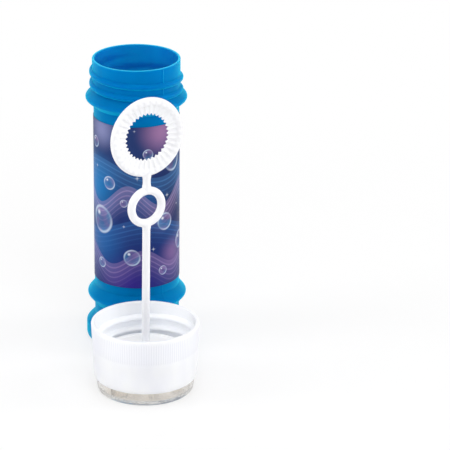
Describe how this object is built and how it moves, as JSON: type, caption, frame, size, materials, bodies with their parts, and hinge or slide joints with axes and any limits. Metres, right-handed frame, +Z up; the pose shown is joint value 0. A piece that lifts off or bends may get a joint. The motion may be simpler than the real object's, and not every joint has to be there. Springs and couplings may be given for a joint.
{
  "type": "bubble wand",
  "caption": "Bubble toy: tube bottle with a printed sleeve and, beside it, its screw cap stood on a clear ball-puzzle window, carrying a wand with a ribbed ring and a plain ring.",
  "frame": {"origin": "middle of the bottle's foot, on the surface that the bottle and the cap stand on", "axes": "+Z up along the bottle; -Y from the bottle towards the cap, which stands in front; +X to the right seen from the cap's side"},
  "size_m": [0.0388, 0.0861, 0.1096],
  "materials": {
    "bottle_blue": "satin blown polyethylene, blue",
    "sleeve_print": "printed film, semi-gloss, violet and navy",
    "cap_white": "milky moulded polypropylene, satin",
    "seal_white": "soft moulded polyethylene",
    "wand_white": "moulded polypropylene, satin",
    "lens_clear": "clear moulded polystyrene, polished",
    "floor_white": "moulded plastic, warm white",
    "ball_steel": "polished steel"
  },
  "bodies": {
    "bottle": {"bottle": "bottle_blue", "print_sleeve": "sleeve_print"},
    "cap": {"cap_shell": "cap_white", "seal_disc": "seal_white", "wand": "wand_white", "puzzle_lens": "lens_clear", "puzzle_floor": "floor_white"},
    "ball_1": {"ball_1": "ball_steel"},
    "ball_2": {"ball_2": "ball_steel"}
  },
  "joints": [
    {"name": "cap_lift", "type": "slide", "parent": "bottle", "child": "cap", "axis": [0, 0, 1], "range_m": [0, 0.12]},
    {"name": "ball_1_roll", "type": "hinge", "parent": "cap", "child": "ball_1", "pos_m": [0, -0.048, 0], "axis": [0, 0, 1], "range_deg": [-80, 80]},
    {"name": "ball_2_roll", "type": "hinge", "parent": "cap", "child": "ball_2", "pos_m": [0, -0.048, 0], "axis": [0, 0, 1], "range_deg": [-80, 80]}
  ]
}
